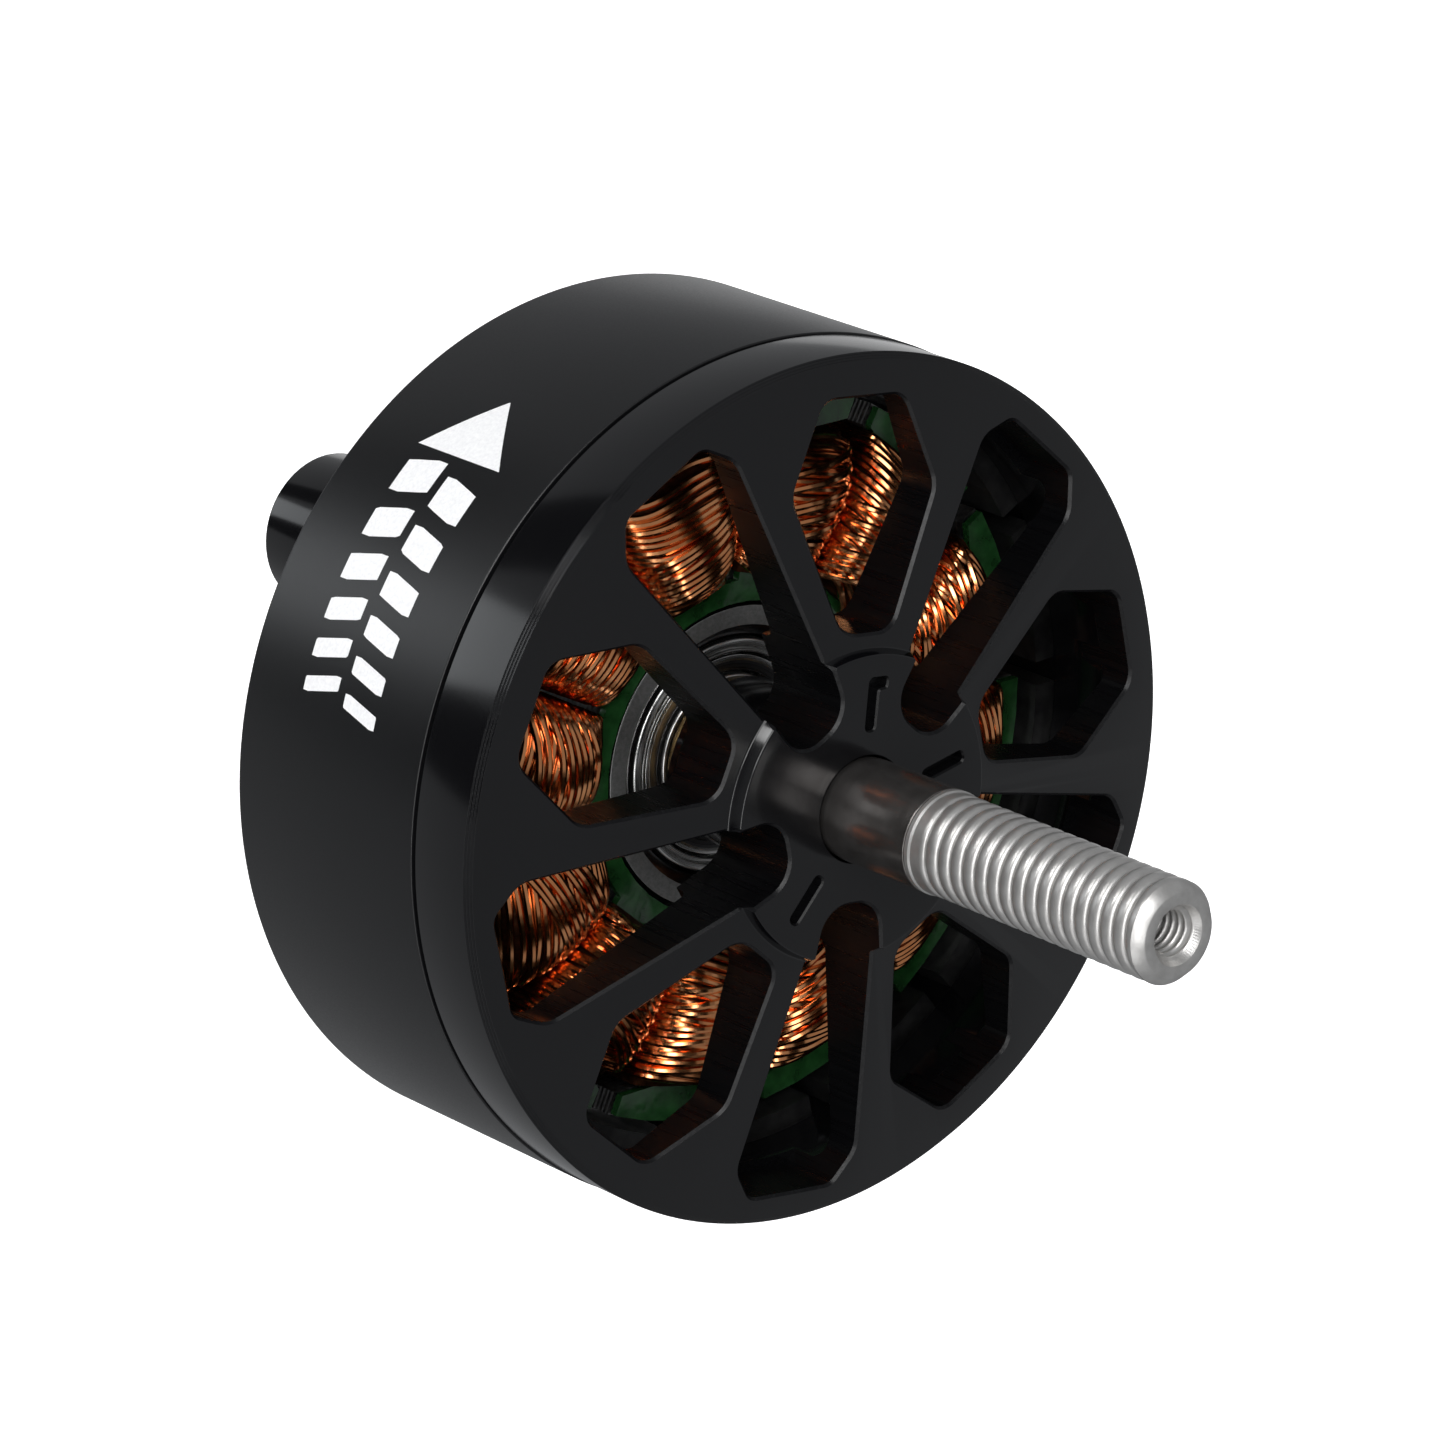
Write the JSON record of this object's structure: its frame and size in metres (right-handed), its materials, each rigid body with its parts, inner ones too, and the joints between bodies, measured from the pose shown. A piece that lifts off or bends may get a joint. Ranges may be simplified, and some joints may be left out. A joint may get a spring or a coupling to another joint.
{
  "type": "brushless outrunner motor",
  "caption": "Outrunner motor with a black slotted rotor can, a threaded propeller shaft and a copper-wound stator seen through the windows of the front cap.",
  "frame": {"origin": "centre of the rear mounting plane, where the four base posts end", "axes": "+Z along the shaft, towards the propeller; +X through the middle of one short window of the front cap"},
  "size_m": [0.0506, 0.0506, 0.06],
  "materials": {
    "black_anodised": "satin black anodised aluminium",
    "satin_black": "satin black coated steel",
    "nickel": "nickel-plated magnet",
    "steel": "turned steel",
    "brass": "turned brass",
    "shield": "dark bearing shield",
    "lamination": "punched electrical steel, stacked",
    "green_epoxy": "glossy green epoxy coating",
    "enamelled_copper": "glossy enamelled copper wire",
    "rubber": "moulded black rubber"
  },
  "bodies": {
    "stator": {"mounting_base": "black_anodised", "wire_outlet": "rubber", "stator_core": "lamination", "insulation_front": "green_epoxy", "insulation_rear": "green_epoxy", "coil_01": "enamelled_copper", "coil_02": "enamelled_copper", "coil_03": "enamelled_copper", "coil_04": "enamelled_copper", "coil_05": "enamelled_copper", "coil_06": "enamelled_copper", "coil_07": "enamelled_copper", "coil_08": "enamelled_copper", "coil_09": "enamelled_copper", "coil_10": "enamelled_copper", "coil_11": "enamelled_copper", "coil_12": "enamelled_copper", "front_bearing_outer_race": "steel", "rear_bearing_outer_race": "steel", "front_bearing_shield_top": "shield", "front_bearing_shield_bottom": "shield", "rear_bearing_shield_top": "shield", "rear_bearing_shield_bottom": "shield"},
    "rotor": {"bell_cap": "black_anodised", "flux_ring": "satin_black", "magnet_01": "nickel", "magnet_02": "nickel", "magnet_03": "nickel", "magnet_04": "nickel", "magnet_05": "nickel", "magnet_06": "nickel", "magnet_07": "nickel", "magnet_08": "nickel", "magnet_09": "nickel", "magnet_10": "nickel", "magnet_11": "nickel", "magnet_12": "nickel", "magnet_13": "nickel", "magnet_14": "nickel", "prop_shaft": "steel", "front_spacer": "brass", "rear_washer": "steel", "retaining_screw": "steel", "front_bearing_inner_race": "steel", "rear_bearing_inner_race": "steel"},
    "front_cage": {"front_ball_cage": "steel"},
    "rear_cage": {"rear_ball_cage": "steel"}
  },
  "joints": [
    {"name": "rotor_spin", "type": "hinge", "parent": "stator", "child": "rotor", "pos_m": [0, 0, 0], "axis": [0, 0, 1], "continuous": true},
    {"name": "front_cage_spin", "type": "hinge", "parent": "stator", "child": "front_cage", "pos_m": [0, 0, 0], "axis": [0, 0, 1], "continuous": true},
    {"name": "rear_cage_spin", "type": "hinge", "parent": "stator", "child": "rear_cage", "pos_m": [0, 0, 0], "axis": [0, 0, 1], "continuous": true}
  ],
  "couplings": [
    {"joint": "front_cage_spin", "follows": "rotor_spin", "ratio": 0.4398},
    {"joint": "rear_cage_spin", "follows": "rotor_spin", "ratio": 0.4398}
  ]
}
